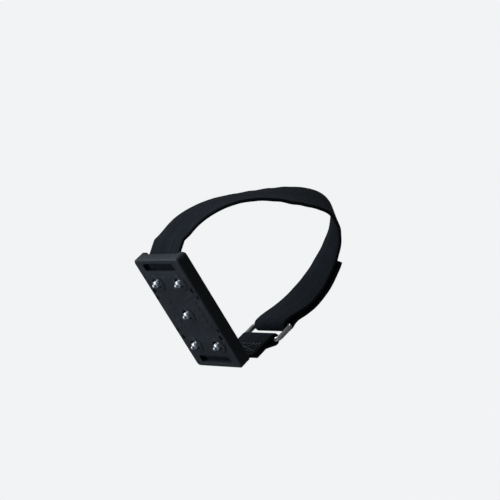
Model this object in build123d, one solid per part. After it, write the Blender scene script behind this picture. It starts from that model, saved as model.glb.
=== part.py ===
"""Instep ice cleat: a studded rubber pad that a webbing strap holds under a boot.

Frame: X points along the boot towards the toe, Y across the boot, Z up into
the boot. The origin is the centre of the pad's boot-side face; the studs
point down. One STEP file is written for each piece.
"""
import math
import os

from build123d import *

# ---------------------------------------------------------------- sizes (mm)
# rubber pad
PAD_LENGTH = 76.0
PAD_WIDTH = 40.0
PAD_THICKNESS = 8.0
PAD_CORNER_RADIUS = 2.5
GROUND_EDGE_CHAMFER = 0.6
LIP_CHAMFER = 0.8

# studs, their threaded inserts and carbide pins
STUD_SPACING_X = 20.0
STUD_SPACING_Y = 44.0
STUD_DIAMETER = 4.0
STUD_REACH = 2.2
STUD_NOSE_DIAMETER = 3.0
STUD_NOSE_HEIGHT = 0.6
PIN_DIAMETER = 2.0
PIN_REACH = 1.5
PIN_SEAT_DEPTH = 3.4
PIN_TIP_CHAMFER = 0.35
INSERT_BARREL_DIAMETER = 6.3
INSERT_FLANGE_DIAMETER = 8.4
INSERT_FLANGE_THICKNESS = 1.4
INSERT_CAP = 0.6
INSERT_COVER = 1.2
INSERT_MOUTH_DEPTH = 1.4
INSERT_MOUTH_CHAMFER = 0.5
BOSS_DIAMETER = 11.0
BOSS_HEIGHT = 0.4

# low relief on the ground face
PIT_DEPTH = 2.0
PITS = [
    # x, y, length along Y, width
    (16.7, 16.6, 3.6, 2.1),
    (18.0, 11.6, 2.8, 1.7),
]
GRIP_RIB_COUNT = 5
GRIP_RIB_PITCH = 4.2
GRIP_RIB_LENGTH = 5.0
GRIP_RIB_WIDTH = 1.3
GRIP_RIB_HEIGHT = 0.3
GRIP_RIB_X = 11.5

# webbing strap
STRAP_WIDTH = 26.5
STRAP_THICKNESS = 2.0
STRAP_X = 1.0
CHANNEL_WIDTH = 30.5
CHANNEL_CLEARANCE = 0.1
RUN_DEPTH = 1.0
DIP_ANGLE = 38.0
EXIT_ANGLE = 60.0
END_WALL_HEIGHT = 5.7
END_WALL_TOP = 1.6
DIP_FILLET = 2.5
ARM_GAP = 1.8
ARM_START_Z = 7.5

# keeper bars across the strap channel and the slots below them
BAR_FROM_END = 5.9
BAR_RADIUS = 2.55
BAR_AXIS_DEPTH = 1.25
SLOT_FROM_END = 5.4
SLOT_LENGTH = 27.2
SLOT_WIDTH = 5.4
SLOT_CORNER_RADIUS = 1.8
SLOT_EDGE_CHAMFER = 0.3

# rectangular ring and the closure
WIRE_DIAMETER = 3.0
WIRE_CLEARANCE = 0.2
RING_WINDOW_LENGTH = 28.5
RING_WINDOW_HEIGHT = 10.0
RING_CORNER_RADIUS = 3.2
RING_ANCHOR_HEIGHT = 24.0
FOLD_LEAVE_ANGLE = 25.0
FOLD_SEAM_LENGTH = 8.5
CUT_GAP = 0.3
BEND_START_ANGLE = 186.0
BEND_END_ANGLE = 330.0
TAIL_LENGTH = 52.0
TAIL_LIE_DOWN = 11.0
TAIL_STRAIGHT = 2.0
HOOK_THICKNESS = 1.0
HOOK_WIDTH = 22.0
HOOK_START = 14.0
HOOK_LENGTH = 32.0
HOOK_CLEARANCE = 0.3

# middle line of the strap from the pad's -Y end over the instep to the ring:
# x, y, z and how far the width slopes down towards the toe, in degrees
INSTEP_STATIONS = [
    (1.6, -41.4, 13.5, 1.5),
    (3.3, -42.5, 18.5, 3.0),
    (5.9, -43.2, 24.5, 5.0),
    (10.2, -42.3, 35.0, 7.0),
    (13.8, -39.2, 45.0, 9.0),
    (16.6, -34.0, 55.0, 13.0),
    (18.3, -27.5, 65.0, 21.0),
    (19.3, -20.0, 75.0, 32.0),
    (19.9, -13.0, 84.0, 39.0),
    (20.8, -5.5, 92.0, 42.0),
    (21.5, 2.5, 97.5, 42.0),
    (21.5, 10.5, 98.8, 41.0),
    (20.4, 18.5, 95.5, 38.0),
    (18.2, 26.0, 88.5, 32.0),
    (15.2, 32.5, 79.0, 24.0),
    (11.8, 37.6, 68.5, 15.0),
    (6.6, 41.1, 58.0, 7.0),
    (2.4, 41.6, 47.5, 2.0),
]
SECTION_PITCH = 2.0
LEAD_LENGTH = 1.5

# ------------------------------------------------------------ derived sizes
HALF_LENGTH = PAD_LENGTH / 2
GROUND_Z = -PAD_THICKNESS
BAR_Y = HALF_LENGTH - BAR_FROM_END
SLOT_Y = HALF_LENGTH - SLOT_FROM_END
END_WALL_Z = GROUND_Z + END_WALL_HEIGHT
WRAP_RADIUS = WIRE_DIAMETER / 2 + WIRE_CLEARANCE + STRAP_THICKNESS / 2
DIP_RADIUS = BAR_RADIUS + CHANNEL_CLEARANCE + STRAP_THICKNESS / 2
ARM_Y = HALF_LENGTH + ARM_GAP + STRAP_THICKNESS / 2
RING_Y = ARM_Y + WRAP_RADIUS
RING_BAR_SPACING = RING_WINDOW_HEIGHT + WIRE_DIAMETER
RING_FREE_BAR_Z = RING_ANCHOR_HEIGHT + RING_BAR_SPACING
RING_LENGTH = RING_WINDOW_LENGTH + WIRE_DIAMETER

INSERT_TOP_Z = -RUN_DEPTH - STRAP_THICKNESS / 2 - CHANNEL_CLEARANCE - INSERT_COVER
INSERT_MOUTH_Z = GROUND_Z + INSERT_MOUTH_DEPTH
STUD_FOOT_Z = INSERT_TOP_Z - INSERT_CAP
STUD_END_Z = GROUND_Z - STUD_REACH
PIN_END_Z = STUD_END_Z - PIN_REACH

STUD_PLACES = [
    (-STUD_SPACING_X / 2, -STUD_SPACING_Y / 2),
    (STUD_SPACING_X / 2, -STUD_SPACING_Y / 2),
    (0.0, 0.0),
    (-STUD_SPACING_X / 2, STUD_SPACING_Y / 2),
    (STUD_SPACING_X / 2, STUD_SPACING_Y / 2),
]


def upright(diameter, bottom, top, x=0.0, y=0.0):
    """A cylinder along Z between two heights."""
    height = top - bottom
    return Pos(x, y, bottom + height / 2) * Cylinder(diameter / 2, height)


def across(face, width, x_middle=0.0):
    """Extrude a face drawn in the YZ plane to a width centred on x_middle."""
    return Pos(x_middle, 0, 0) * extrude(face, amount=width / 2, dir=(1, 0, 0), both=True)


def bent_line(corners, radii, steps=10):
    """Points (y, z) along straight runs whose corners are rounded by the radii."""
    points = [Vector(*corners[0])]
    for before, corner, after, radius in zip(corners, corners[1:], corners[2:], radii):
        corner = Vector(*corner)
        back = (Vector(*before) - corner).normalized()
        ahead = (Vector(*after) - corner).normalized()
        half = math.radians(back.get_angle(ahead)) / 2
        centre = corner + (back + ahead).normalized() * (radius / math.sin(half))
        first = corner + back * (radius / math.tan(half))
        last = corner + ahead * (radius / math.tan(half))
        turn = math.pi - 2 * half
        spin = 1 if back.cross(ahead).Z < 0 else -1
        for step in range(steps + 1):
            angle = math.degrees(spin * turn * step / steps)
            points.append(centre + (first - centre).rotate(Axis.Z, angle))
        assert (points[-1] - last).length < 1e-6
    points.append(Vector(*corners[-1]))
    return points


def arc_points(centre, radius, start, sweep, steps=20):
    """Points (y, z) on an arc; angles in degrees from the +Y direction."""
    turns = [math.radians(start + sweep * k / steps) for k in range(steps + 1)]
    return [Vector(*centre) + Vector(math.cos(a), math.sin(a)) * radius for a in turns]


def sides_of(points, thickness):
    """The two edges of a band that follows the points (y, z)."""
    left = []
    right = []
    for k, point in enumerate(points):
        before = points[max(k - 1, 0)]
        after = points[min(k + 1, len(points) - 1)]
        along = (after - before).normalized()
        side = Vector(-along.Y, along.X) * (thickness / 2)
        left.append(point + side)
        right.append(point - side)
    return left, right


def yz_face(outline):
    """A face in the YZ plane from a closed list of (y, z) points."""
    return make_face(Polyline([(0, p.X, p.Y) for p in outline], close=True))


def band(points, thickness, width, x_middle):
    """A strip of webbing that follows the points (y, z)."""
    left, right = sides_of(points, thickness)
    return across(yz_face(left + right[::-1]), width, x_middle)


# ----------------------------------------------------- the strap's two ends
def pad_run():
    """Corners and radii of the strap's way through the pad, from end to end."""
    dip = math.radians(DIP_ANGLE)
    rise = math.radians(EXIT_ANGLE)
    inward = Vector(-math.sin(dip), -math.cos(dip))
    outward = Vector(math.sin(rise), -math.cos(rise))
    under_bar = (inward + outward) * (DIP_RADIUS / (1 + inward.dot(outward)))
    fall = DIP_RADIUS / math.cos(dip) + BAR_AXIS_DEPTH - RUN_DEPTH
    climb = (ARM_Y - BAR_Y) * math.tan(rise) - DIP_RADIUS / math.cos(rise)
    half = [
        (BAR_Y - fall / math.tan(dip), -RUN_DEPTH),
        (BAR_Y + under_bar.X, under_bar.Y - BAR_AXIS_DEPTH),
        (ARM_Y, climb - BAR_AXIS_DEPTH),
    ]
    mirrored = [(-y, z) for y, z in reversed(half)]
    radii = [DIP_FILLET, DIP_RADIUS, DIP_FILLET]
    return mirrored + half, radii[::-1] + radii


run_corners, run_radii = pad_run()
near_end = (-ARM_Y, ARM_START_Z)
far_end = (ARM_Y, ARM_START_Z)
run_line = bent_line([near_end] + run_corners + [far_end], run_radii)

# the sewn fold that holds the ring
ring_anchor = (RING_Y, RING_ANCHOR_HEIGHT)
fold_line = bent_line([near_end] + run_corners + [(ARM_Y, RING_ANCHOR_HEIGHT)], run_radii)
fold_line += arc_points(ring_anchor, WRAP_RADIUS, 180, -180 - FOLD_LEAVE_ANGLE)[1:]
seam_y = ARM_Y + STRAP_THICKNESS
neck = (fold_line[-1].X - seam_y) / math.tan(math.radians(FOLD_LEAVE_ANGLE))
seam_top = fold_line[-1].Y - neck
fold_line += [Vector(seam_y, seam_top), Vector(seam_y, seam_top - FOLD_SEAM_LENGTH)]
strap_base = band(fold_line, STRAP_THICKNESS, STRAP_WIDTH, STRAP_X)

# ------------------------------------------------ the strap over the instep
way_points = [(STRAP_X, -ARM_Y, ARM_START_Z), (STRAP_X, -ARM_Y, ARM_START_Z + LEAD_LENGTH)]
way_points += [station[:3] for station in INSTEP_STATIONS]
way_points += [(STRAP_X, ARM_Y, RING_FREE_BAR_Z + LEAD_LENGTH), (STRAP_X, ARM_Y, RING_FREE_BAR_Z)]
slopes = [0.0, 0.0] + [station[3] for station in INSTEP_STATIONS] + [0.0, 0.0]
instep_line = Spline(*way_points)
instep_length = instep_line.length


def line_at(distance):
    """Place and direction at a distance up from the ring, measured on the line."""
    place = instep_length - distance
    middle = instep_line.position_at(place, position_mode=PositionMode.LENGTH)
    along = instep_line.tangent_at(place, position_mode=PositionMode.LENGTH)
    if distance < LEAD_LENGTH / 2:
        along = Vector(0, 0, -1)
    if place < LEAD_LENGTH / 2:
        along = Vector(0, 0, 1)
    return middle, along.normalized()


def nearest_distance(point):
    """Distance from the ring of the place on the line nearest to a station."""
    steps = [k * SECTION_PITCH / 4 for k in range(int(4 * instep_length / SECTION_PITCH) + 1)]
    return min(steps, key=lambda d: (line_at(d)[0] - Vector(*point)).length)


station_distances = [nearest_distance(point) for point in way_points]


def slope_at(distance):
    """How far the strap's width slopes towards the toe at a distance from the ring."""
    for k in range(1, len(slopes)):
        high = station_distances[k - 1]
        low = station_distances[k]
        if distance >= low:
            share = min((high - distance) / (high - low), 1.0)
            share = max(share, 0.0)
            share = share * share * (3 - 2 * share)
            return slopes[k - 1] + (slopes[k] - slopes[k - 1]) * share
    return slopes[-1]


def frame_at(distance):
    """Middle, width direction, line direction and outward direction of the strap."""
    middle, along = line_at(distance)
    slope = math.radians(slope_at(distance))
    level = Vector(math.cos(slope), 0, -math.sin(slope))
    wide = (level - along * level.dot(along)).normalized()
    return middle, wide, along, wide.cross(along)


def loft_band(distances, offsets, width, thickness):
    """A strip that follows the instep line at the given outward offsets."""
    sections = []
    for distance, offset in zip(distances, offsets):
        middle, wide, along, out = frame_at(distance)
        plane = Plane(origin=middle + out * offset, x_dir=wide, z_dir=along)
        sections.append(plane * Rectangle(width, thickness))
    return loft(sections, ruled=True)


def pitches(start, length):
    """Distances from the ring, one section pitch apart."""
    count = round(length / SECTION_PITCH)
    return [start + k * SECTION_PITCH for k in range(count + 1)]


over_distances = [CUT_GAP] + pitches(SECTION_PITCH, instep_length - 2 * SECTION_PITCH)
over_distances[-1] = instep_length
strap_over = loft_band(over_distances, [0.0] * len(over_distances), STRAP_WIDTH, STRAP_THICKNESS)
strap_main = strap_base + strap_over

# ------------------------------------------------------ ring, tail and hooks
ring_frame = Pos(STRAP_X, RING_Y, RING_ANCHOR_HEIGHT + RING_BAR_SPACING / 2) * Rot(90, 0, 0)
ring_line = ring_frame * RectangleRounded(RING_LENGTH, RING_BAR_SPACING, RING_CORNER_RADIUS).wire()
ring_start = Plane(origin=ring_line @ 0, z_dir=ring_line % 0)
strap_ring = sweep(ring_start * Circle(WIRE_DIAMETER / 2), path=ring_line)

tail_offset = STRAP_THICKNESS + HOOK_CLEARANCE + HOOK_THICKNESS
hook_offset = STRAP_THICKNESS / 2 + HOOK_CLEARANCE + HOOK_THICKNESS / 2
free_bar = (RING_Y, RING_FREE_BAR_Z)
bend_line = arc_points(free_bar, WRAP_RADIUS, BEND_START_ANGLE, BEND_END_ANGLE - BEND_START_ANGLE)
strap_bend = band(bend_line, STRAP_THICKNESS, STRAP_WIDTH, STRAP_X)
half_thickness = STRAP_THICKNESS / 2
foot_arc = CenterArc((RING_Y + WRAP_RADIUS, RING_FREE_BAR_Z), half_thickness, 180, 180)
foot_face = Plane.YZ * make_face([foot_arc, Line(foot_arc @ 1, foot_arc @ 0)])
tail_foot = across(foot_face, STRAP_WIDTH, STRAP_X)


def lie_down(distance):
    """Outward offset of the tail as it leaves the ring and lies on the strap."""
    share = min(max(distance - TAIL_STRAIGHT, 0.0) / TAIL_LIE_DOWN, 1.0)
    share = share * share * (3 - 2 * share)
    return 2 * WRAP_RADIUS + (tail_offset - 2 * WRAP_RADIUS) * share


tail_distances = pitches(0.0, TAIL_LENGTH)
tail_offsets = [lie_down(d) for d in tail_distances]
strap_tail = tail_foot + loft_band(tail_distances, tail_offsets, STRAP_WIDTH, STRAP_THICKNESS)
hook_distances = pitches(HOOK_START, HOOK_LENGTH)
hook_patch = loft_band(hook_distances, [hook_offset] * len(hook_distances), HOOK_WIDTH, HOOK_THICKNESS)

# ---------------------------------------------------------------- rubber pad
pad_outline = RectangleRounded(PAD_WIDTH, PAD_LENGTH, PAD_CORNER_RADIUS)
tread_pad = Pos(0, 0, GROUND_Z) * extrude(pad_outline, amount=PAD_THICKNESS)
ground_edges = tread_pad.faces().sort_by(Axis.Z)[0].edges()
tread_pad = chamfer(ground_edges, GROUND_EDGE_CHAMFER)
seat_edges = tread_pad.faces().sort_by(Axis.Z)[-1].edges().sort_by(Axis.Y)
tread_pad = chamfer([seat_edges[0], seat_edges[-1]], LIP_CHAMFER)

# the channel follows the strap and is open to the seat except under the bars
channel_thickness = STRAP_THICKNESS + 2 * CHANNEL_CLEARANCE
floor_side = sides_of(run_line, channel_thickness)[1]
above = [Vector(ARM_Y + STRAP_THICKNESS, ARM_START_Z), Vector(-ARM_Y - STRAP_THICKNESS, ARM_START_Z)]
tread_pad -= across(yz_face(floor_side + above), CHANNEL_WIDTH)
bar_half = math.sqrt(BAR_RADIUS**2 - BAR_AXIS_DEPTH**2)
bar_angle = math.degrees(math.asin(BAR_AXIS_DEPTH / BAR_RADIUS))
for side in (-1, 1):
    bar_axis = (side * BAR_Y, -BAR_AXIS_DEPTH)
    bar_outline = arc_points(bar_axis, BAR_RADIUS, 180 - bar_angle, 180 + 2 * bar_angle, 24)
    tread_pad += across(yz_face(bar_outline), CHANNEL_WIDTH + 1.0)
    above_wall = Box(CHANNEL_WIDTH, 2 * END_WALL_TOP, -2 * END_WALL_Z)
    tread_pad -= Pos(0, side * HALF_LENGTH, 0) * above_wall
    slot = Pos(0, side * SLOT_Y, GROUND_Z) * RectangleRounded(SLOT_LENGTH, SLOT_WIDTH, SLOT_CORNER_RADIUS)
    tread_pad -= extrude(slot, amount=PAD_THICKNESS - BAR_AXIS_DEPTH - DIP_RADIUS)
    tread_pad -= loft([
        slot,
        Pos(0, 0, -SLOT_EDGE_CHAMFER) * offset(slot, SLOT_EDGE_CHAMFER),
    ])

for x, y in STUD_PLACES:
    tread_pad += upright(BOSS_DIAMETER, GROUND_Z - BOSS_HEIGHT, GROUND_Z + 1.0, x, y)
    tread_pad -= upright(INSERT_BARREL_DIAMETER, GROUND_Z - BOSS_HEIGHT, INSERT_TOP_Z, x, y)
    flange_z = INSERT_TOP_Z - INSERT_FLANGE_THICKNESS
    tread_pad -= upright(INSERT_FLANGE_DIAMETER, flange_z, INSERT_TOP_Z, x, y)
for x, y, length, width in PITS:
    for side_x in (-1, 1):
        for side_y in (-1, 1):
            place = Pos(side_x * x, side_y * y, GROUND_Z) * Rot(0, 0, 90)
            tread_pad -= extrude(place * SlotOverall(length, width), amount=PIT_DEPTH)
for side_x in (-1, 1):
    for row in range(GRIP_RIB_COUNT):
        y = (row - (GRIP_RIB_COUNT - 1) / 2) * GRIP_RIB_PITCH
        rib = Box(GRIP_RIB_LENGTH, GRIP_RIB_WIDTH, 2 * GRIP_RIB_HEIGHT)
        tread_pad += Pos(side_x * GRIP_RIB_X, y, GROUND_Z) * rib

# ------------------------------------------------- inserts, studs and pins
def insert(x, y):
    """A flanged, capped insert moulded into the pad, open towards the ground."""
    flange_z = INSERT_TOP_Z - INSERT_FLANGE_THICKNESS
    body = upright(INSERT_FLANGE_DIAMETER, flange_z, INSERT_TOP_Z, x, y)
    body += upright(INSERT_BARREL_DIAMETER, INSERT_MOUTH_Z, INSERT_TOP_Z, x, y)
    body -= upright(STUD_DIAMETER, INSERT_MOUTH_Z, STUD_FOOT_Z, x, y)
    mouth = Pos(x, y, INSERT_MOUTH_Z + INSERT_MOUTH_CHAMFER / 2)
    wide_radius = STUD_DIAMETER / 2 + INSERT_MOUTH_CHAMFER
    return body - mouth * Cone(wide_radius, STUD_DIAMETER / 2, INSERT_MOUTH_CHAMFER)


def stud(x, y):
    """A stepped stud whose shank fills the insert and whose nose holds the pin."""
    nose_z = STUD_END_Z + STUD_NOSE_HEIGHT
    body = upright(STUD_DIAMETER, nose_z, STUD_FOOT_Z, x, y)
    nose = Pos(x, y, STUD_END_Z + STUD_NOSE_HEIGHT / 2)
    body += nose * Cone(STUD_NOSE_DIAMETER / 2, STUD_DIAMETER / 2, STUD_NOSE_HEIGHT)
    return body - upright(PIN_DIAMETER, STUD_END_Z, STUD_END_Z + PIN_SEAT_DEPTH, x, y)


def pin(x, y):
    """A carbide pin seated in the stud's nose, its tip chamfered."""
    body = upright(PIN_DIAMETER, PIN_END_Z, STUD_END_Z + PIN_SEAT_DEPTH, x, y)
    return chamfer(body.edges().sort_by(Axis.Z)[0], PIN_TIP_CHAMFER)


# -------------------------------------------------------------------- export
pieces = {
    "tread_pad": tread_pad,
    "strap_main": strap_main,
    "strap_ring": strap_ring,
    "strap_bend": strap_bend,
    "strap_tail": strap_tail,
    "hook_patch": hook_patch,
}
for number, (x, y) in enumerate(STUD_PLACES, start=1):
    pieces[f"insert_{number}"] = insert(x, y)
    pieces[f"stud_body_{number}"] = stud(x, y)
    pieces[f"carbide_pin_{number}"] = pin(x, y)

os.makedirs("parts", exist_ok=True)
for name, piece in pieces.items():
    export_step(piece, f"parts/{name}.step")
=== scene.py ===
"""Looks of a strap-on instep ice cleat, laid out as an add-on and run as a script."""

import math

import bmesh
import bpy
import numpy as np
from mathutils import Matrix, Vector


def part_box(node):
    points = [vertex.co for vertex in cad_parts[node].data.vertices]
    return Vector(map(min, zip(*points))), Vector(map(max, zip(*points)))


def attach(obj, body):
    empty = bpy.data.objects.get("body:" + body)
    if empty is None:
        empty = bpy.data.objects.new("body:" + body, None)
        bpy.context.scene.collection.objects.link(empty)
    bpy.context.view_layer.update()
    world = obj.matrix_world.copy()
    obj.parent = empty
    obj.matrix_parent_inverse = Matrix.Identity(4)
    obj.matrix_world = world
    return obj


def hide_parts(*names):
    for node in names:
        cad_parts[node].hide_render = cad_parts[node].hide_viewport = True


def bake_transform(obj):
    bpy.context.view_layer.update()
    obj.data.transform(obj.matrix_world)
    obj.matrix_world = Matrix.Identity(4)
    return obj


bl_info = {
    "name": "Instep Ice Cleat",
    "version": (1, 0, 0),
    "blender": (4, 5, 0),
    "location": "View3D > Sidebar > Cleat",
    "description": "Builds the pad, studs, webbing and closure of an instep ice cleat",
    "category": "Object",
}

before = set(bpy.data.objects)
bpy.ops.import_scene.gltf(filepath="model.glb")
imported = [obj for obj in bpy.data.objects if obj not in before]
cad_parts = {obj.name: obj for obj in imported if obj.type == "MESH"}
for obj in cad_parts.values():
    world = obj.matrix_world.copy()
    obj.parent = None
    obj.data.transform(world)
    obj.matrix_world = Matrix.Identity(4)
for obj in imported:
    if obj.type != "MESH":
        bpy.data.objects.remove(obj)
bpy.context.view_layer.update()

MM = 0.001
HALF_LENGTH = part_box("tread_pad")[1][1] / MM
INSERTS = [f"insert_{n}" for n in range(1, 6)]
STUDS = [f"stud_body_{n}" for n in range(1, 6)]
PINS = [f"carbide_pin_{n}" for n in range(1, 6)]

# the strap's way, in mm: the same corners, radii and stations as the frame's
STRAP_X = 1.0
RUN_DEPTH = 1.0
BAR_Y = HALF_LENGTH - 5.9
BAR_AXIS_Z = -1.25
WRAP_OF_BAR = 3.65
DIP_ANGLE = math.radians(38.0)
EXIT_ANGLE = math.radians(60.0)
DIP_FILLET = 2.5
ARM_Y = HALF_LENGTH + 2.8
ARM_START_Z = 7.5
WRAP_OF_WIRE = 2.7
RING_Y = ARM_Y + WRAP_OF_WIRE
ANCHOR_Z = 24.0
FREE_BAR_Z = 37.0
FOLD_LEAVE = math.radians(25.0)
SEAM_LENGTH = 8.5
LEAD = 1.5
WRAP_START = math.radians(181.0)
TAIL_LENGTH = 52.0
TAIL_STRAIGHT = 2.0
TAIL_LIE_DOWN = 11.0
TAIL_OFFSET = 3.3
HOOK_OFFSET = 1.8
HOOK_START = 14.0
HOOK_LENGTH = 32.0
HOOK_HEIGHT = 0.45
HOOK_THREAD = 0.09
SEAM_MARGIN = 3.0
THREAD_WIDTH = 0.7
SECTION_PITCH = 0.8
INSTEP_PITCH = 1.0
CORNER_STEPS = 16
ANCHOR_STEPS = 24
WRAP_STEPS = 22
STATIONS = [
    # x, y, z, slope of the width towards the toe in degrees
    (STRAP_X, -ARM_Y, ARM_START_Z, 0.0),
    (STRAP_X, -ARM_Y, ARM_START_Z + LEAD, 0.0),
    (1.6, -41.4, 13.5, 1.5),
    (3.3, -42.5, 18.5, 3.0),
    (5.9, -43.2, 24.5, 5.0),
    (10.2, -42.3, 35.0, 7.0),
    (13.8, -39.2, 45.0, 9.0),
    (16.6, -34.0, 55.0, 13.0),
    (18.3, -27.5, 65.0, 21.0),
    (19.3, -20.0, 75.0, 32.0),
    (19.9, -13.0, 84.0, 39.0),
    (20.8, -5.5, 92.0, 42.0),
    (21.5, 2.5, 97.5, 42.0),
    (21.5, 10.5, 98.8, 41.0),
    (20.4, 18.5, 95.5, 38.0),
    (18.2, 26.0, 88.5, 32.0),
    (15.2, 32.5, 79.0, 24.0),
    (11.8, 37.6, 68.5, 15.0),
    (6.6, 41.1, 58.0, 7.0),
    (2.4, 41.6, 47.5, 2.0),
    (STRAP_X, ARM_Y, FREE_BAR_Z + LEAD, 0.0),
    (STRAP_X, ARM_Y, FREE_BAR_Z, 0.0),
]

# how a webbing's edge is rounded: its share of the thickness, and its steps
EDGE_SHARE = 0.3
EDGE_STEPS = 6

# hook tape, in mm: the sewn ground and the field of hooks that stands on it
TAPE_WIDTH = 22.0
TAPE_THICKNESS = 0.48
TAPE_COLUMN = 3.0
TAPE_RELIEF = 0.02
TAPE_LIFT = 0.25
FIELD_WIDTH = 20.5
FIELD_LIFT = 0.02

# the pad's finish: faces that meet more sharply than this keep a crisp edge
SHARP_ANGLE = math.radians(35)
BRUSH_ANGLE = math.radians(-36.0)

# camera and lamps in metres, floor in mm
VIEW_RIGHT = Vector((0.644, 0.470, 0.6035)).normalized()
VIEW_AHEAD = Vector((-0.765, 0.379, 0.521))
VIEW_TARGET = Vector((22.9, -12.3, 34.5)) * MM
VIEW_DISTANCE = 0.9
VIEW_WIDTH = 0.2778
SENSOR_WIDTH = 36.0
FLOOR_HALF = 4000
FLOOR_Z = -620
LAMP_COLOUR = "e4f1ff"
LAMPS = [
    # name, side that it stands on, distance, size, watts
    ("key", Vector((-0.42, -0.86, -0.22)), 0.9, 0.6, 8.2),
    ("low", Vector((-0.3, -0.45, -0.84)), 0.55, 0.35, 1.6),
    ("top", Vector((-0.2, -0.3, 0.9)), 1.1, 0.7, 3.0),
]


# ------------------------------------------------------------------ helpers
def linear(hex_colour):
    """A linear RGBA colour from an sRGB hex value such as 1c2024."""
    channels = [int(hex_colour[k:k + 2], 16) / 255 for k in (0, 2, 4)]
    return [c / 12.92 if c <= 0.04045 else ((c + 0.055) / 1.055) ** 2.4 for c in channels] + [1.0]


def node(tree, kind, inputs=None, **settings):
    """Adds a node with its settings, values and links, and gives it back."""
    made = tree.nodes.new(kind)
    for key, value in settings.items():
        setattr(made, key, value)
    for key, value in (inputs or {}).items():
        if isinstance(value, bpy.types.NodeSocket):
            tree.links.new(value, made.inputs[key])
        else:
            made.inputs[key].default_value = value
    return made


def new_material(name):
    """An empty node material and its tree."""
    material = bpy.data.materials.new(name)
    material.use_nodes = True
    material.node_tree.nodes.clear()
    return material, material.node_tree


def finish_material(tree, shader):
    """Links the shader to the material's output."""
    node(tree, "ShaderNodeOutputMaterial", {"Surface": shader.outputs[0]})


def new_object(name, vertices, faces, material, uv=None):
    """A mesh object at the origin; vertices are in mm, uv holds (u, v) for each vertex."""
    mesh = bpy.data.meshes.new(name)
    mesh.from_pydata([Vector(v) * MM for v in vertices], [], faces)
    if uv is not None:
        layer = mesh.uv_layers.new(name="UVMap")
        for loop in mesh.loops:
            layer.data[loop.index].uv = uv[loop.vertex_index]
    mesh.polygons.foreach_set("use_smooth", [True] * len(mesh.polygons))
    mesh.materials.append(material)
    made = bpy.data.objects.new(name, mesh)
    bpy.context.scene.collection.objects.link(made)
    return made


def bake_modifiers(made):
    """Turns an object with modifiers into a plain mesh with none."""
    bpy.context.view_layer.update()
    graph = bpy.context.evaluated_depsgraph_get()
    mesh = bpy.data.meshes.new_from_object(made.evaluated_get(graph), depsgraph=graph)
    old = made.data
    made.modifiers.clear()
    made.data = mesh
    mesh.name = made.name
    bpy.data.meshes.remove(old)
    return made


def new_tree(name, body, numbers, result):
    """A geometry nodes tree with its named sockets, and the outputs of its group input."""
    tree = bpy.data.node_groups.new(name, "GeometryNodeTree")
    tree.interface.new_socket(name=body, in_out="INPUT", socket_type="NodeSocketGeometry")
    for number in numbers:
        tree.interface.new_socket(name=number, in_out="INPUT", socket_type="NodeSocketFloat")
    tree.interface.new_socket(name="Finish", in_out="INPUT", socket_type="NodeSocketMaterial")
    tree.interface.new_socket(name=result, in_out="OUTPUT", socket_type="NodeSocketGeometry")
    return tree, node(tree, "NodeGroupInput").outputs


# ---------------------------------------------------------- the strap's way
def distances(points):
    """Each point's distance along the line that the points make."""
    return np.concatenate([[0], np.cumsum(np.linalg.norm(np.diff(points, axis=0), axis=1))])


def eased(share):
    """A share from 0 to 1 that starts and ends gently."""
    return share * share * (3 - 2 * share)


def rounded(corners, radii, steps):
    """Points (y, z) along straight runs whose corners are rounded."""
    points = [np.array(corners[0])]
    for before, corner, after, radius in zip(corners, corners[1:], corners[2:], radii):
        before, corner, after = (np.array(c) for c in (before, corner, after))
        back = (before - corner) / np.linalg.norm(before - corner)
        ahead = (after - corner) / np.linalg.norm(after - corner)
        half = math.acos(float(np.clip(back @ ahead, -1, 1))) / 2
        bisector = (back + ahead) / np.linalg.norm(back + ahead)
        centre = corner + bisector * radius / math.sin(half)
        first = corner + back * radius / math.tan(half) - centre
        turn = math.pi - 2 * half
        if back[0] * ahead[1] - back[1] * ahead[0] > 0:
            turn = -turn
        for k in range(steps + 1):
            a = turn * k / steps
            spin = np.array([[math.cos(a), -math.sin(a)], [math.sin(a), math.cos(a)]])
            points.append(centre + spin @ first)
    points.append(np.array(corners[-1]))
    return points


def arc(centre, radius, start, sweep, steps):
    """Points (y, z) on an arc; angles are in radians from +Y towards +Z."""
    turns = [start + sweep * k / steps for k in range(steps + 1)]
    return [np.array(centre) + radius * np.array([math.cos(a), math.sin(a)]) for a in turns]


def half_run():
    """Corners of the strap's way from the middle of the pad out to one side."""
    fall = WRAP_OF_BAR / math.cos(DIP_ANGLE) - BAR_AXIS_Z - RUN_DEPTH
    inward = np.array([-math.sin(DIP_ANGLE), -math.cos(DIP_ANGLE)])
    outward = np.array([math.sin(EXIT_ANGLE), -math.cos(EXIT_ANGLE)])
    under = (inward + outward) * WRAP_OF_BAR / (1 + inward @ outward)
    climb = (ARM_Y - BAR_Y) * math.tan(EXIT_ANGLE) - WRAP_OF_BAR / math.cos(EXIT_ANGLE)
    corners = [
        (BAR_Y - fall / math.tan(DIP_ANGLE), -RUN_DEPTH),
        (BAR_Y + under[0], BAR_AXIS_Z + under[1]),
        (ARM_Y, BAR_AXIS_Z + climb),
    ]
    return corners, [DIP_FILLET, WRAP_OF_BAR, DIP_FILLET]


def evened(points, pitch):
    """Points one pitch apart along a line, and each one's distance along it."""
    points = np.array(points, float)
    gaps = np.linalg.norm(np.diff(points, axis=0), axis=1)
    keep = np.concatenate([[True], gaps > 1e-6])
    points = points[keep]
    along = distances(points)
    count = max(2, round(along[-1] / pitch))
    wanted = np.linspace(0, along[-1], count + 1)
    columns = [np.interp(wanted, along, points[:, k]) for k in range(points.shape[1])]
    return np.stack(columns, axis=1), wanted


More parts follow.
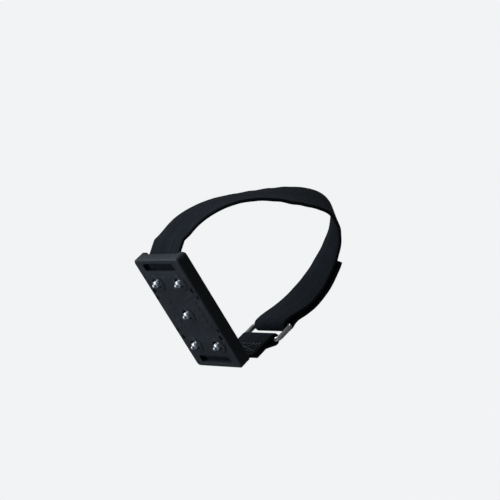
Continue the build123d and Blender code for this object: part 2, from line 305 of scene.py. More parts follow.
def natural_spline(points, pitch):
    """A smooth line through points, one pitch apart, as the frame's strap has it."""
    points = np.array(points, float)
    knots = distances(points)
    size = len(points)
    gaps = np.diff(knots)
    matrix = np.eye(size)
    right = np.zeros_like(points)
    for k in range(1, size - 1):
        matrix[k, k - 1] = gaps[k - 1]
        matrix[k, k] = 2 * (gaps[k - 1] + gaps[k])
        matrix[k, k + 1] = gaps[k]
        ahead = (points[k + 1] - points[k]) / gaps[k]
        right[k] = 6 * (ahead - (points[k] - points[k - 1]) / gaps[k - 1])
    bend = np.linalg.solve(matrix, right)
    made = []
    for place in np.linspace(0, knots[-1], int(knots[-1] / 0.1)):
        k = min(int(np.searchsorted(knots, place, side="right")) - 1, size - 2)
        a = (knots[k + 1] - place) / gaps[k]
        b = 1 - a
        curve = ((a**3 - a) * bend[k] + (b**3 - b) * bend[k + 1]) * gaps[k] ** 2 / 6
        made.append(a * points[k] + b * points[k + 1] + curve)
    return evened(made, pitch)


def planar_frames(points):
    """Middle, width and outward direction for a line drawn in the YZ plane."""
    middles = np.array([(STRAP_X, y, z) for y, z in points])
    along = np.gradient(middles, axis=0)
    along /= np.linalg.norm(along, axis=1)[:, None]
    wide = np.tile([1.0, 0.0, 0.0], (len(middles), 1))
    return middles, wide, np.cross(wide, along)


def instep_frames(pitch):
    """The same for the strap over the instep, and distances from the ring."""
    middles, travelled = natural_spline([s[:3] for s in STATIONS], pitch)
    length = travelled[-1]
    reached = []
    for station in STATIONS:
        gaps = np.linalg.norm(middles - np.array(station[:3]), axis=1)
        reached.append(travelled[int(np.argmin(gaps))])
    slopes = [station[3] for station in STATIONS]
    slope = []
    for place in travelled:
        k = min(max(int(np.searchsorted(reached, place, side="right")) - 1, 0), len(slopes) - 2)
        share = np.clip((place - reached[k]) / max(reached[k + 1] - reached[k], 1e-6), 0, 1)
        slope.append(math.radians(slopes[k] + (slopes[k + 1] - slopes[k]) * eased(share)))
    along = np.gradient(middles, axis=0)
    along /= np.linalg.norm(along, axis=1)[:, None]
    level = np.array([(math.cos(s), 0.0, -math.sin(s)) for s in slope])
    wide = level - along * np.sum(level * along, axis=1)[:, None]
    wide /= np.linalg.norm(wide, axis=1)[:, None]
    return middles, wide, np.cross(wide, along), length - travelled


def joined(*runs):
    """Runs of frames put end to end, without doubled sections."""
    middles, wide, out = (np.concatenate([run[k] for run in runs]) for k in range(3))
    gaps = np.linalg.norm(np.diff(middles, axis=0), axis=1)
    keep = np.concatenate([[True], gaps > 0.05])
    return middles[keep], wide[keep], out[keep]


# -------------------------------------------------------------- properties
class CleatSizes(bpy.types.PropertyGroup):
    """Sizes of the visible detail."""

    webbing_width: bpy.props.FloatProperty(
        name="Webbing Width", description="Width of the strap", default=26.5 * MM, unit="LENGTH"
    )
    webbing_thickness: bpy.props.FloatProperty(
        name="Webbing Thickness", description="Thickness of the strap", default=2.0 * MM, unit="LENGTH"
    )
    warp_pitch: bpy.props.FloatProperty(
        name="Warp Pitch", description="Width of one woven column", default=1.27 * MM, unit="LENGTH"
    )
    warp_relief: bpy.props.FloatProperty(
        name="Warp Relief", description="Depth between woven columns", default=0.14 * MM, unit="LENGTH"
    )
    pick_pitch: bpy.props.FloatProperty(
        name="Pick Pitch", description="Distance between crossing threads", default=0.9 * MM, unit="LENGTH"
    )
    edge_round: bpy.props.FloatProperty(
        name="Pad Edge", description="Rounding of the pad's moulded edges", default=0.3 * MM, unit="LENGTH"
    )
    stud_pitch_across: bpy.props.FloatProperty(
        name="Stud Pitch Across", description="Spacing of the corner studs along the boot",
        default=20.0 * MM, unit="LENGTH",
    )
    stud_pitch_along: bpy.props.FloatProperty(
        name="Stud Pitch Along", description="Spacing of the corner studs across the boot",
        default=44.0 * MM, unit="LENGTH",
    )
    stitch_length: bpy.props.FloatProperty(
        name="Stitch Length", description="Length of one stitch", default=2.6 * MM, unit="LENGTH"
    )
    hook_pitch: bpy.props.FloatProperty(
        name="Hook Pitch", description="Spacing of the hooks on the tail", default=1.5 * MM, unit="LENGTH"
    )


class CleatColours(bpy.types.PropertyGroup):
    """Colours of the finishes."""

    rubber: bpy.props.FloatVectorProperty(
        name="Rubber", description="Moulded rubber of the pad", subtype="COLOR", size=4,
        default=linear("14171b"),
    )
    webbing: bpy.props.FloatVectorProperty(
        name="Webbing", description="Woven strap", subtype="COLOR", size=4, default=linear("111418")
    )
    thread: bpy.props.FloatVectorProperty(
        name="Thread", description="Sewing thread", subtype="COLOR", size=4, default=linear("101113")
    )
    hook_tape: bpy.props.FloatVectorProperty(
        name="Hook Tape", description="Hook side of the closure", subtype="COLOR", size=4,
        default=linear("0e0f10"),
    )
    stud_steel: bpy.props.FloatVectorProperty(
        name="Stud Steel", description="Turned studs", subtype="COLOR", size=4, default=linear("d6d7da")
    )
    # the zinc colour is darker than plated zinc: painted shade of the recess round each stud
    zinc_painted_shade: bpy.props.FloatVectorProperty(
        name="Zinc", description="Plated inserts", subtype="COLOR", size=4, default=linear("6f7f8e")
    )
    carbide: bpy.props.FloatVectorProperty(
        name="Carbide", description="Ground pins", subtype="COLOR", size=4, default=linear("c2c3c6")
    )
    nickel: bpy.props.FloatVectorProperty(
        name="Nickel", description="Plated ring", subtype="COLOR", size=4, default=linear("c9c6bf")
    )


# --------------------------------------------------------------- materials
def moulded_rubber(colour):
    """Moulded styrene rubber: satin skin, fine spark-eroded grain and faint flow streaks."""
    material, tree = new_material("moulded_rubber_satin")
    place = node(tree, "ShaderNodeTexCoord").outputs["Object"]
    grain = node(tree, "ShaderNodeTexNoise", {
        "Vector": place, "Scale": 1 / (0.45 * MM), "Detail": 3.0, "Roughness": 0.6,
    })
    turned_place = node(tree, "ShaderNodeVectorRotate", {
        "Vector": place, "Angle": BRUSH_ANGLE,
    }, rotation_type="Z_AXIS")
    drawn = node(tree, "ShaderNodeMapping", {
        "Vector": turned_place.outputs[0], "Scale": (1 / (0.9 * MM), 1 / (16 * MM), 1 / (0.9 * MM)),
    })
    streak = node(tree, "ShaderNodeTexNoise", {
        "Vector": drawn.outputs[0], "Scale": 1.0, "Detail": 2.0, "Roughness": 0.6,
    })
    cloud = node(tree, "ShaderNodeTexNoise", {"Vector": place, "Scale": 1 / (16 * MM), "Detail": 2.0})
    shade = node(tree, "ShaderNodeMath", {
        0: cloud.outputs[0], 1: 0.3, 2: streak.outputs[0],
    }, operation="MULTIPLY_ADD")
    spread = node(tree, "ShaderNodeMapRange", {
        "Value": shade.outputs[0], "From Min": 0.4, "From Max": 0.9, "To Min": 0.4, "To Max": 1.7,
    })
    tone = node(tree, "ShaderNodeMix", {
        "Factor": 1.0, "A": tuple(colour), "B": spread.outputs[0],
    }, data_type="RGBA", blend_type="MULTIPLY")
    rough = node(tree, "ShaderNodeMapRange", {
        "Value": grain.outputs[0], "From Min": 0.3, "From Max": 0.7, "To Min": 0.46, "To Max": 0.64,
    })
    height = node(tree, "ShaderNodeMath", {
        0: streak.outputs[0], 1: 0.35, 2: grain.outputs[0],
    }, operation="MULTIPLY_ADD")
    bump = node(tree, "ShaderNodeBump", {
        "Height": height.outputs[0], "Strength": 0.6, "Distance": 0.05 * MM,
    })
    shader = node(tree, "ShaderNodeBsdfPrincipled", {
        "Base Color": tone.outputs["Result"], "Roughness": rough.outputs[0], "IOR": 1.52,
        "Specular IOR Level": 0.33, "Normal": bump.outputs[0],
    })
    finish_material(tree, shader)
    return material


def woven_webbing(colour, sizes):
    """Woven nylon loop webbing: matt columns of warp, small crossing picks and a brushed nap."""
    material, tree = new_material("nylon_loop_webbing_woven")
    mark = node(tree, "ShaderNodeSeparateXYZ", {
        0: node(tree, "ShaderNodeUVMap", uv_map="UVMap").outputs[0],
    })
    place = node(tree, "ShaderNodeTexCoord").outputs["Object"]
    column = node(tree, "ShaderNodeMath", {
        0: mark.outputs[0], 1: sizes.warp_pitch / MM,
    }, operation="DIVIDE")
    number = node(tree, "ShaderNodeMath", {0: column.outputs[0]}, operation="FLOOR")
    pick = node(tree, "ShaderNodeMath", {
        0: mark.outputs[1], 1: sizes.pick_pitch / MM,
    }, operation="DIVIDE")
    phase = node(tree, "ShaderNodeMath", {
        0: number.outputs[0], 1: 0.5, 2: pick.outputs[0],
    }, operation="MULTIPLY_ADD")
    turn = node(tree, "ShaderNodeMath", {0: phase.outputs[0], 1: 2 * math.pi}, operation="MULTIPLY")
    crossing = node(tree, "ShaderNodeMath", {0: turn.outputs[0]}, operation="SINE")
    nap = node(tree, "ShaderNodeTexNoise", {
        "Vector": place, "Scale": 1 / (0.6 * MM), "Detail": 4.0, "Roughness": 0.75,
    })
    wear = node(tree, "ShaderNodeTexNoise", {"Vector": place, "Scale": 1 / (9 * MM), "Detail": 3.0})
    per_column = node(tree, "ShaderNodeTexWhiteNoise", {"W": number.outputs[0]}, noise_dimensions="1D")
    mottled = node(tree, "ShaderNodeMath", {
        0: per_column.outputs[0], 1: 0.5, 2: wear.outputs[0],
    }, operation="MULTIPLY_ADD")
    spread = node(tree, "ShaderNodeMapRange", {
        "Value": mottled.outputs[0], "From Min": 0.4, "From Max": 1.05, "To Min": 0.62, "To Max": 1.4,
    })
    tone = node(tree, "ShaderNodeMix", {
        "Factor": 1.0, "A": tuple(colour), "B": spread.outputs[0],
    }, data_type="RGBA", blend_type="MULTIPLY")
    height = node(tree, "ShaderNodeMath", {
        0: crossing.outputs[0], 1: 0.4, 2: nap.outputs[0],
    }, operation="MULTIPLY_ADD")
    bump = node(tree, "ShaderNodeBump", {
        "Height": height.outputs[0], "Strength": 1.0, "Distance": 0.2 * MM,
    })
    shader = node(tree, "ShaderNodeBsdfPrincipled", {
        "Base Color": tone.outputs["Result"], "Roughness": 0.9, "IOR": 1.53,
        "Specular IOR Level": 0.12, "Sheen Weight": 0.012, "Sheen Roughness": 0.4,
        "Normal": bump.outputs[0],
    })
    finish_material(tree, shader)
    return material


def plain_metal(name, colour, low, high, grit, depth):
    """A metal whose roughness and relief vary at the grit left by its last process."""
    material, tree = new_material(name)
    place = node(tree, "ShaderNodeTexCoord").outputs["Object"]
    scratch = node(tree, "ShaderNodeTexNoise", {
        "Vector": place, "Scale": 1 / (grit * MM), "Detail": 3.0, "Roughness": 0.6,
    })
    rough = node(tree, "ShaderNodeMapRange", {
        "Value": scratch.outputs[0], "From Min": 0.3, "From Max": 0.7, "To Min": low, "To Max": high,
    })
    tint = node(tree, "ShaderNodeMapRange", {
        "Value": scratch.outputs[0], "From Min": 0.3, "From Max": 0.7, "To Min": 0.86, "To Max": 1.05,
    })
    tone = node(tree, "ShaderNodeMix", {
        "Factor": 1.0, "A": tuple(colour), "B": tint.outputs[0],
    }, data_type="RGBA", blend_type="MULTIPLY")
    bump = node(tree, "ShaderNodeBump", {
        "Height": scratch.outputs[0], "Strength": 0.3, "Distance": depth * MM,
    })
    shader = node(tree, "ShaderNodeBsdfPrincipled", {
        "Base Color": tone.outputs["Result"], "Metallic": 1.0, "Roughness": rough.outputs[0],
        "Normal": bump.outputs[0],
    })
    finish_material(tree, shader)
    return material


def spun_thread(colour):
    """Bonded polyester thread: two plies that catch a soft line of light."""
    material, tree = new_material("polyester_thread_bonded")
    place = node(tree, "ShaderNodeTexCoord").outputs["Object"]
    ply = node(tree, "ShaderNodeTexNoise", {"Vector": place, "Scale": 1 / (0.3 * MM), "Detail": 2.0})
    bump = node(tree, "ShaderNodeBump", {
        "Height": ply.outputs[0], "Strength": 0.6, "Distance": 0.05 * MM,
    })
    shader = node(tree, "ShaderNodeBsdfPrincipled", {
        "Base Color": tuple(colour), "Roughness": 0.5, "IOR": 1.55, "Normal": bump.outputs[0],
    })
    finish_material(tree, shader)
    return material


def moulded_hook(colour):
    """Moulded nylon hook tape: slightly glossy ground and hooks."""
    material, tree = new_material("nylon_hook_tape_moulded")
    place = node(tree, "ShaderNodeTexCoord").outputs["Object"]
    skin = node(tree, "ShaderNodeTexNoise", {"Vector": place, "Scale": 1 / (0.5 * MM), "Detail": 2.0})
    rough = node(tree, "ShaderNodeMapRange", {
        "Value": skin.outputs[0], "From Min": 0.3, "From Max": 0.7, "To Min": 0.35, "To Max": 0.55,
    })
    bump = node(tree, "ShaderNodeBump", {
        "Height": skin.outputs[0], "Strength": 0.3, "Distance": 0.04 * MM,
    })
    shader = node(tree, "ShaderNodeBsdfPrincipled", {
        "Base Color": tuple(colour), "Roughness": rough.outputs[0], "IOR": 1.53,
        "Normal": bump.outputs[0],
    })
    finish_material(tree, shader)
    return material


def pale_paint():
    """Matt painted board for the floor: even and pale."""
    material, tree = new_material("board_painted_pale")
    place = node(tree, "ShaderNodeTexCoord").outputs["Object"]
    tooth = node(tree, "ShaderNodeTexNoise", {"Vector": place, "Scale": 1 / (4 * MM), "Detail": 2.0})
    bump = node(tree, "ShaderNodeBump", {
        "Height": tooth.outputs[0], "Strength": 0.1, "Distance": 0.1 * MM,
    })
    shader = node(tree, "ShaderNodeBsdfPrincipled", {
        "Base Color": linear("dfe0e1"), "Roughness": 0.85, "Normal": bump.outputs[0],
    })
    finish_material(tree, shader)
    return material


# ------------------------------------------------------------------ makers
def webbing(name, frames, width, thickness, pitch, relief, material):
    """A woven band swept along frames, with ribbed faces and rounded edges; sizes in mm."""
    middles, wide, out = frames
    flat = width / 2 - thickness * EDGE_SHARE
    steps = 4 * round(2 * flat / pitch)
    face = [(-flat + 2 * flat * k / steps) for k in range(steps + 1)]
    profile = []
    for side, run in ((1, face), (-1, face[::-1])):
        for x in run:
            groove = relief * (0.5 - 0.5 * math.cos(2 * math.pi * x / pitch))
            profile.append((x, side * (thickness / 2 - groove)))
        for k in range(1, EDGE_STEPS):
            turn = side * math.pi / 2 - math.pi * k / EDGE_STEPS
            reach = side * flat + (width / 2 - flat) * math.cos(turn)
            profile.append((reach, thickness / 2 * math.sin(turn)))
    across = np.array([p[0] for p in profile])
    lift = np.array([p[1] for p in profile])
    travelled = distances(middles)
    vertices = []
    uv = []
    for middle, w, o, distance in zip(middles, wide, out, travelled):
        vertices += list(middle + across[:, None] * w + lift[:, None] * o)
        uv += [(u, distance) for u in across]
    size = len(profile)
    faces = []
    for row in range(len(middles) - 1):
        for k in range(size):
            after = (k + 1) % size
            a, b = row * size + k, row * size + after
            faces.append((a, a + size, b + size, b))
    faces.append(tuple(range(size)))
    faces.append(tuple(range((len(middles) - 1) * size, len(middles) * size))[::-1])
    return new_object(name, vertices, faces, material, uv)


def turned(name, profile, segments, material):
    """A closed body turned round Z from a profile of (radius, height) in mm, top to bottom."""
    vertices = []
    rings = []
    for radius, height in profile:
        if radius < 1e-6:
            rings.append([len(vertices)])
            vertices.append((0.0, 0.0, height))
            continue
        rings.append(list(range(len(vertices), len(vertices) + segments)))
        for k in range(segments):
            turn = 2 * math.pi * k / segments
            vertices.append((radius * math.cos(turn), radius * math.sin(turn), height))
    faces = []
    for upper, lower in zip(rings, rings[1:]):
        for k in range(segments):
            a, b = upper[k % len(upper)], upper[(k + 1) % len(upper)]
            c, d = lower[(k + 1) % len(lower)], lower[k % len(lower)]
            corners = [a, d, c, b]
            kept = [v for n, v in enumerate(corners) if v not in corners[:n]]
            if len(kept) > 2:
                faces.append(tuple(kept))
    made = new_object(name, vertices, faces, material)
    made.data.set_sharp_from_angle(angle=SHARP_ANGLE)
    return made


def quincunx_tree():
    """Geometry nodes that repeat a body at four corners and the middle."""
    tree, given = new_tree("five_on_a_pad", "Body", ("Pitch Across", "Pitch Along"), "Bodies")
    corners = node(tree, "GeometryNodeMeshGrid", {
        "Size X": given["Pitch Across"], "Size Y": given["Pitch Along"], "Vertices X": 2, "Vertices Y": 2,
    })
    middle = node(tree, "GeometryNodeMeshLine", {"Count": 1})
    places = node(tree, "GeometryNodeJoinGeometry", {"Geometry": corners.outputs["Mesh"]})
    tree.links.new(middle.outputs["Mesh"], places.inputs["Geometry"])
    turn = node(tree, "FunctionNodeRandomValue", {
        2: 0.0, 3: 2 * math.pi, "Seed": 7,
    }, data_type="FLOAT")
    spin = node(tree, "ShaderNodeCombineXYZ", {"Z": turn.outputs[1]})
    repeated = node(tree, "GeometryNodeInstanceOnPoints", {
        "Points": places.outputs[0], "Instance": given["Body"], "Rotation": spin.outputs[0],
    })
    real = node(tree, "GeometryNodeRealizeInstances", {"Geometry": repeated.outputs[0]})
    painted = node(tree, "GeometryNodeSetMaterial", {
        "Geometry": real.outputs[0], "Material": given["Finish"],
    })
    node(tree, "NodeGroupOutput", {"Bodies": painted.outputs[0]})
    return tree


def use_tree(made, tree, values):
    """Puts a geometry nodes tree on an object, sets its inputs and makes it a plain mesh."""
    modifier = made.modifiers.new(tree.name, "NODES")
    modifier.node_group = tree
    for item in tree.interface.items_tree:
        if item.item_type == "SOCKET" and item.in_out == "INPUT" and item.name in values:
            modifier[item.identifier] = values[item.name]
    return bake_modifiers(made)


def stitch_tree():
    """Geometry nodes that lay thread stitches end to end along a drawn line."""
    tree, given = new_tree("stitch_run", "Line", ("Stitch Length", "Thread Width"), "Stitches")
    line = node(tree, "GeometryNodeMeshToCurve", {"Mesh": given["Line"]})
    spaced = node(tree, "GeometryNodeCurveToPoints", {
        "Curve": line.outputs[0], "Length": given["Stitch Length"],
    }, mode="LENGTH")
    bead = node(tree, "GeometryNodeMeshUVSphere", {"Segments": 8, "Rings": 6, "Radius": 0.5})
    reach = node(tree, "ShaderNodeMath", {
        0: given["Stitch Length"], 1: 0.94,
    }, operation="MULTIPLY")
    shape = node(tree, "ShaderNodeCombineXYZ", {
        "X": given["Thread Width"], "Y": given["Thread Width"], "Z": reach.outputs[0],
    })
    laid = node(tree, "GeometryNodeInstanceOnPoints", {
        "Points": spaced.outputs["Points"], "Instance": bead.outputs["Mesh"],
        "Rotation": spaced.outputs["Rotation"], "Scale": shape.outputs[0],
    })
    real = node(tree, "GeometryNodeRealizeInstances", {"Geometry": laid.outputs[0]})
    smooth = node(tree, "GeometryNodeSetShadeSmooth", {"Geometry": real.outputs[0]})
    painted = node(tree, "GeometryNodeSetMaterial", {
        "Geometry": smooth.outputs[0], "Material": given["Finish"],
    })
    node(tree, "NodeGroupOutput", {"Stitches": painted.outputs[0]})
    return tree


def hook_tree():
    """Geometry nodes that stand a bent hook on every point of a carrier mesh."""
    tree, given = new_tree("hook_field", "Places", ("Hook Height", "Hook Thickness"), "Hooks")
    stem = node(tree, "GeometryNodeCurvePrimitiveBezierSegment", {
        "Start": (0.0, 0.0, 0.0), "Start Handle": (0.0, 0.0, 1.3),
        "End Handle": (0.75, 0.0, 1.3), "End": (0.75, 0.0, 0.55), "Resolution": 5,
    }, mode="POSITION")
    ratio = node(tree, "ShaderNodeMath", {
        0: given["Hook Thickness"], 1: given["Hook Height"],
    }, operation="DIVIDE")
    section = node(tree, "GeometryNodeCurvePrimitiveCircle", {
        "Resolution": 4, "Radius": ratio.outputs[0],
    }, mode="RADIUS")
    hook = node(tree, "GeometryNodeCurveToMesh", {
        "Curve": stem.outputs[0], "Profile Curve": section.outputs[0], "Fill Caps": True,
    })
    facing = node(tree, "FunctionNodeAlignRotationToVector", {
        "Vector": node(tree, "GeometryNodeInputNormal").outputs[0],
    }, axis="Z")
    stood = node(tree, "GeometryNodeInstanceOnPoints", {
        "Points": given["Places"], "Instance": hook.outputs[0], "Rotation": facing.outputs[0],
        "Scale": node(tree, "ShaderNodeCombineXYZ", {
            "X": given["Hook Height"], "Y": given["Hook Height"], "Z": given["Hook Height"],
        }).outputs[0],
    })
    real = node(tree, "GeometryNodeRealizeInstances", {"Geometry": stood.outputs[0]})
    painted = node(tree, "GeometryNodeSetMaterial", {
        "Geometry": real.outputs[0], "Material": given["Finish"],
    })
    node(tree, "NodeGroupOutput", {"Hooks": painted.outputs[0]})
    return tree


def drawn_line(name, runs):
    """An object that holds only lines, each a list of points in mm."""
    vertices = []
    edges = []
    for run in runs:
        first = len(vertices)
        vertices += [Vector(p) * MM for p in run]
        edges += [(first + k, first + k + 1) for k in range(len(run) - 1)]
    mesh = bpy.data.meshes.new(name)
    mesh.from_pydata(vertices, edges, [])
    made = bpy.data.objects.new(name, mesh)
    bpy.context.scene.collection.objects.link(made)
    return made


def hook_carrier(name, frames, width, offset, pitch, material):
    """A grid that faces the strap, with one point for each hook; sizes in mm."""
    middles, wide, out = frames
    travelled = distances(middles)
    rows = np.arange(pitch, travelled[-1] - pitch / 2, pitch)
    columns = np.arange(-width / 2 + pitch / 2, width / 2, pitch)
    vertices = []
    for row in rows:
        k = int(np.argmin(np.abs(travelled - row)))
        vertices += [middles[k] + wide[k] * x + out[k] * offset for x in columns]
    size = len(columns)
    faces = []
    for row in range(len(rows) - 1):
        for k in range(size - 1):
            a = row * size + k
            faces.append((a, a + size, a + size + 1, a + 1))
    made = new_object(name, vertices, faces, material)
    if Vector(out[len(out) // 2]).dot(made.data.polygons[len(faces) // 2].normal) > 0:
        made.data.flip_normals()
    return made


# --------------------------------------------------------------- operators
class CLEAT_OT_pad(bpy.types.Operator):
    """Makes the moulded rubber pad"""

    bl_idname = "cleat.pad"
    bl_label = "Pad"

    def execute(self, context):
        rubber = moulded_rubber(context.scene.cleat_colours.rubber)
        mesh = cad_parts["tread_pad"].data.copy()
        shape = bmesh.new()
        shape.from_mesh(mesh)
        bmesh.ops.remove_doubles(shape, verts=shape.verts, dist=0.001 * MM)
        bmesh.ops.dissolve_limit(
            shape, angle_limit=math.radians(1.0), verts=shape.verts, edges=shape.edges
        )
        shape.to_mesh(mesh)
        shape.free()
        mesh.materials.clear()
        mesh.materials.append(rubber)
        mesh.polygons.foreach_set("use_smooth", [True] * len(mesh.polygons))
        made = bpy.data.objects.new("pad_moulding", mesh)
        context.scene.collection.objects.link(made)
        bevel = made.modifiers.new("edge", "BEVEL")
        bevel.width = context.scene.cleat_sizes.edge_round
        bevel.segments = 2
        bevel.limit_method = "ANGLE"
        bevel.angle_limit = SHARP_ANGLE
        bevel.harden_normals = True
        bake_modifiers(made)
        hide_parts("tread_pad")
        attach(made, "cleat")
        return {"FINISHED"}


class CLEAT_OT_studs(bpy.types.Operator):
    """Makes the five inserts, studs and carbide pins"""

    bl_idname = "cleat.studs"
    bl_label = "Studs"

    def execute(self, context):
        sizes = context.scene.cleat_sizes
        colours = context.scene.cleat_colours
        tree = quincunx_tree()
        # zinc plate is bluish and cloudy, its colour darkened as painted shade of the recess round each
        # stud; turned steel is bright, ground carbide is pale and satin
        zinc_painted_shade = plain_metal("steel_zinc_plated_painted_shade", colours.zinc_painted_shade, 0.22, 0.38, 0.5, 0.01)
        steel = plain_metal("steel_turned_bright", colours.stud_steel, 0.32, 0.42, 0.3, 0.004)
        carbide = plain_metal("tungsten_carbide_ground", colours.carbide, 0.36, 0.46, 0.15, 0.004)
        pieces = [
            # name, nodes, slot, finish, segments, profile of (radius, height)
            ("stud_inserts", INSERTS, "insert_steel", zinc_painted_shade, 40, [
                (0.0, -3.3), (4.05, -3.3), (4.2, -3.45), (4.2, -4.55), (4.05, -4.7), (3.15, -4.7),
                (3.15, -6.48), (3.03, -6.6), (2.58, -6.6), (2.5, -6.57), (2.0, -6.1), (2.0, -3.9),
                (0.0, -3.9),
            ]),
            ("stud_bodies", STUDS, "stud_steel", steel, 40, [
                (0.0, -3.9), (2.0, -3.9), (2.0, -7.7), (1.92, -7.78), (1.92, -7.92), (2.0, -8.0),
                (2.0, -8.6), (1.92, -8.68), (1.92, -8.82), (2.0, -8.9), (2.0, -9.52), (1.96, -9.62),
                (1.55, -10.14), (1.46, -10.2), (1.0, -10.2), (1.0, -6.8), (0.0, -6.8),
            ]),
            ("carbide_pins", PINS, "carbide", carbide, 32, [
                (0.0, -6.8), (1.0, -6.8), (1.0, -11.3), (0.96, -11.42), (0.7, -11.66), (0.62, -11.7),
                (0.0, -11.7),
            ]),
        ]
        for name, nodes, slot, material, segments, profile in pieces:
            made = turned(name, profile, segments, material)
            use_tree(made, tree, {
                "Pitch Across": sizes.stud_pitch_across, "Pitch Along": sizes.stud_pitch_along,
                "Finish": material,
            })
            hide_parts(*nodes)
            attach(made, "cleat")
        return {"FINISHED"}


class CLEAT_OT_strap(bpy.types.Operator):
    """Makes the strap under the pad and over the instep"""

    bl_idname = "cleat.strap"
    bl_label = "Strap"

    def execute(self, context):
        sizes = context.scene.cleat_sizes
        material = woven_webbing(context.scene.cleat_colours.webbing, sizes)
        width, thickness = sizes.webbing_width / MM, sizes.webbing_thickness / MM
        pitch, relief = sizes.warp_pitch / MM, sizes.warp_relief / MM
        corners, radii = half_run()
        mirrored = [(-y, z) for y, z in reversed(corners)]
        cut = (-BAR_Y, BAR_AXIS_Z - WRAP_OF_BAR)

        way = mirrored + corners + [(ARM_Y, ANCHOR_Z)]
        under = rounded(way, radii[1::-1] + radii, CORNER_STEPS)
        under = [np.array(cut)] + [p for p in under if p[0] >= cut[0] - 1e-6]
        under += arc((RING_Y, ANCHOR_Z), WRAP_OF_WIRE, math.pi, -math.pi - FOLD_LEAVE, ANCHOR_STEPS)
        seam_y = ARM_Y + thickness
        neck = (under[-1][0] - seam_y) / math.tan(FOLD_LEAVE)
        seam_z = under[-1][1] - neck
        under += [np.array([seam_y, seam_z]), np.array([seam_y, seam_z - SEAM_LENGTH])]
        points, _ = evened(under, SECTION_PITCH)
        made = webbing("strap_under", planar_frames(points), width, thickness, pitch, relief, material)
        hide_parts("strap_main")
        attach(made, "cleat")

        thread = spun_thread(context.scene.cleat_colours.thread)
        reach = width / 2 - SEAM_MARGIN
        low, high = seam_z - SEAM_LENGTH + SEAM_MARGIN / 2, seam_z - SEAM_MARGIN / 4
        box = [(-reach, low), (reach, low), (reach, high), (-reach, high), (-reach, low)]
        crosses = [[(-reach, low), (reach, high)], [(-reach, high), (reach, low)]]
        runs = []
        for y in (ARM_Y - thickness / 2, seam_y + thickness / 2):
            runs += [[(STRAP_X + x, y, z) for x, z in line] for line in [box] + crosses]
        made = drawn_line("fold_stitches", runs)
        use_tree(made, stitch_tree(), {
            "Stitch Length": sizes.stitch_length, "Thread Width": THREAD_WIDTH * MM, "Finish": thread,
        })
        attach(made, "cleat")

        way = [(-y, z) for y, z in corners] + [(-ARM_Y, ARM_START_Z)]
        near = [p for p in rounded(way, radii[1:], CORNER_STEPS) if p[0] <= cut[0] + 1e-6]
        points, _ = evened([np.array(cut)] + near, SECTION_PITCH)
        frames = joined(planar_frames(points), instep_frames(INSTEP_PITCH))
        made = webbing("strap_over", frames, width, thickness, pitch, relief, material)
        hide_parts("strap_main")
        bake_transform(made)
        return {"FINISHED"}


class CLEAT_OT_closure(bpy.types.Operator):
    """Makes the tail and its hook tape, and gives the ring its nickel finish"""

    bl_idname = "cleat.closure"
    bl_label = "Closure"

    def execute(self, context):
        sizes = context.scene.cleat_sizes
        colours = context.scene.cleat_colours
        material = bpy.data.materials["nylon_loop_webbing_woven"]
        width, thickness = sizes.webbing_width / MM, sizes.webbing_thickness / MM
        pitch, relief = sizes.warp_pitch / MM, sizes.warp_relief / MM
        middles, wide, out, distance = instep_frames(INSTEP_PITCH)
        order = np.argsort(distance)
        middles, wide, out, distance = middles[order], wide[order], out[order], distance[order]

        share = np.clip((distance - TAIL_STRAIGHT) / TAIL_LIE_DOWN, 0, 1)
        offset = 2 * WRAP_OF_WIRE + (TAIL_OFFSET - 2 * WRAP_OF_WIRE) * eased(share)
        on_tail = distance <= TAIL_LENGTH
        lying = ((middles + out * offset[:, None])[on_tail], wide[on_tail], out[on_tail])
        sweep = 2 * math.pi - WRAP_START
        wrap = planar_frames(arc((RING_Y, FREE_BAR_Z), WRAP_OF_WIRE, WRAP_START, sweep, WRAP_STEPS))
        tail = joined(wrap, lying)
        made = webbing("strap_tail_webbing", tail, width, thickness, pitch, relief, material)
        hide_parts("strap_tail", "strap_bend")
        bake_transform(made)

        tape_material = moulded_hook(colours.hook_tape)
        on_tape = (distance >= HOOK_START) & (distance <= HOOK_START + HOOK_LENGTH)
        tape = (middles[on_tape], wide[on_tape], out[on_tape])
        base = (tape[0] + tape[2] * (HOOK_OFFSET + TAPE_LIFT), tape[1], tape[2])
        made = webbing(
            "hook_tape_ground", base, TAPE_WIDTH, TAPE_THICKNESS, TAPE_COLUMN, TAPE_RELIEF, tape_material
        )
        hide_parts("hook_patch")
        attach(made, "tail")

        edge = TAPE_WIDTH / 2 - SEAM_MARGIN / 2
        outer = TAIL_OFFSET + thickness / 2
        toe, heel = (tape[0] + tape[1] * side + tape[2] * outer for side in (-edge, edge))
        made = drawn_line("tail_stitches", [toe, heel, [toe[1], heel[1]], [toe[-2], heel[-2]]])
        use_tree(made, bpy.data.node_groups["stitch_run"], {
            "Stitch Length": sizes.stitch_length, "Thread Width": THREAD_WIDTH * MM,
            "Finish": bpy.data.materials["polyester_thread_bonded"],
        })
        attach(made, "tail")

        carrier = hook_carrier(
            "hook_tape_hooks", tape, FIELD_WIDTH, HOOK_OFFSET + FIELD_LIFT, sizes.hook_pitch / MM,
            tape_material,
        )
        use_tree(carrier, hook_tree(), {
            "Hook Height": HOOK_HEIGHT * MM, "Hook Thickness": HOOK_THREAD * MM,
            "Finish": tape_material,
        })
        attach(carrier, "tail")

        # nickel plate is warm and bright, with broad soft clouds where the wire was polished
        nickel = plain_metal("steel_wire_nickel_plated", colours.nickel, 0.16, 0.3, 1.2, 0.01)
        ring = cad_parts["strap_ring"]
        ring.data.materials.clear()
        ring.data.materials.append(nickel)
        return {"FINISHED"}


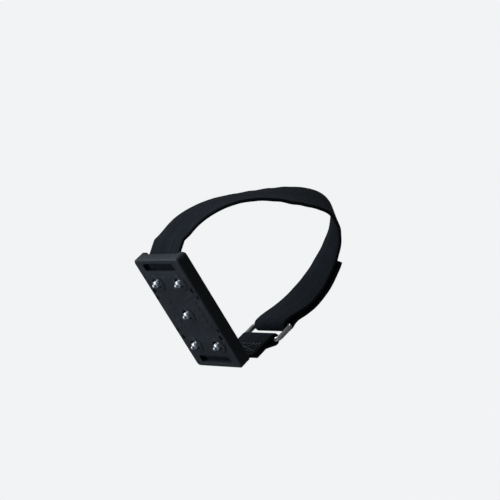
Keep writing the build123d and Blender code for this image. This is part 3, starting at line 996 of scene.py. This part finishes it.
class CLEAT_OT_stage(bpy.types.Operator):
    """Makes the floor, the lights and the camera"""

    bl_idname = "cleat.stage"
    bl_label = "Stage"

    def execute(self, context):
        scene = context.scene
        ahead = (VIEW_AHEAD - VIEW_RIGHT * VIEW_AHEAD.dot(VIEW_RIGHT)).normalized()
        up = VIEW_RIGHT.cross(ahead)
        camera = bpy.data.objects.new("camera", bpy.data.cameras.new("camera"))
        scene.collection.objects.link(camera)
        camera.data.sensor_width = SENSOR_WIDTH
        camera.data.lens = SENSOR_WIDTH * VIEW_DISTANCE / VIEW_WIDTH
        turn = Matrix((VIEW_RIGHT, up, -ahead)).transposed().to_4x4()
        camera.matrix_world = Matrix.Translation(VIEW_TARGET - ahead * VIEW_DISTANCE) @ turn
        scene.camera = camera

        sides = ((-1, -1), (1, -1), (1, 1), (-1, 1))
        corners = [(FLOOR_HALF * x, FLOOR_HALF * y, FLOOR_Z) for x, y in sides]
        floor = new_object("floor", corners, [(0, 1, 2, 3)], pale_paint())
        for name, side, away, size, power in LAMPS:
            light = bpy.data.lights.new(name, "AREA")
            light.size = size
            light.energy = power
            light.color = linear(LAMP_COLOUR)[:3]
            lamp = bpy.data.objects.new(name, light)
            lamp.location = VIEW_TARGET + side.normalized() * away
            lamp.rotation_euler = (-side).to_track_quat("-Z", "Y").to_euler()
            scene.collection.objects.link(lamp)
        world = bpy.data.worlds.new("studio")
        world.use_nodes = True
        tree = world.node_tree
        tree.nodes.clear()
        towards = node(tree, "ShaderNodeVectorMath", {
            0: node(tree, "ShaderNodeTexCoord").outputs["Generated"], 1: (-0.5, -0.75, -0.43),
        }, operation="DOT_PRODUCT")
        level = node(tree, "ShaderNodeMapRange", {
            "Value": towards.outputs["Value"], "From Min": -0.3, "From Max": 1.0,
            "To Min": 0.12, "To Max": 0.45,
        })
        seen = node(tree, "ShaderNodeBackground", {"Color": linear("f2f3f4"), "Strength": 1.0})
        cast = node(tree, "ShaderNodeBackground", {"Color": linear("e6eef7"), "Strength": level.outputs[0]})
        path = node(tree, "ShaderNodeLightPath")
        mixed = node(tree, "ShaderNodeMixShader", {
            0: path.outputs["Is Camera Ray"], 1: cast.outputs[0], 2: seen.outputs[0],
        })
        node(tree, "ShaderNodeOutputWorld", {"Surface": mixed.outputs[0]})
        scene.world = world
        scene.view_settings.view_transform = "Standard"
        return {"FINISHED"}


class CLEAT_PT_panel(bpy.types.Panel):
    """Lists the cleat's makers, sizes and colours"""

    bl_idname = "CLEAT_PT_panel"
    bl_label = "Instep Ice Cleat"
    bl_space_type = "VIEW_3D"
    bl_region_type = "UI"
    bl_category = "Cleat"

    def draw(self, context):
        for name in STEPS:
            self.layout.operator(f"cleat.{name}")
        for group in (context.scene.cleat_sizes, context.scene.cleat_colours):
            box = self.layout.box()
            for name in group.__annotations__:
                box.prop(group, name)


STEPS = ["pad", "studs", "strap", "closure", "stage"]
CLASSES = [
    CleatSizes, CleatColours, CLEAT_OT_pad, CLEAT_OT_studs, CLEAT_OT_strap, CLEAT_OT_closure,
    CLEAT_OT_stage, CLEAT_PT_panel,
]


def register():
    """Registers the classes and their settings on the scene."""
    for made in CLASSES:
        bpy.utils.register_class(made)
    bpy.types.Scene.cleat_sizes = bpy.props.PointerProperty(type=CleatSizes)
    bpy.types.Scene.cleat_colours = bpy.props.PointerProperty(type=CleatColours)


def unregister():
    """Takes the settings and classes away again."""
    del bpy.types.Scene.cleat_colours
    del bpy.types.Scene.cleat_sizes
    for made in reversed(CLASSES):
        bpy.utils.unregister_class(made)


def main():
    """Builds every piece in order."""
    register()
    for name in STEPS:
        getattr(bpy.ops.cleat, name)()


if __name__ == "__main__":
    main()
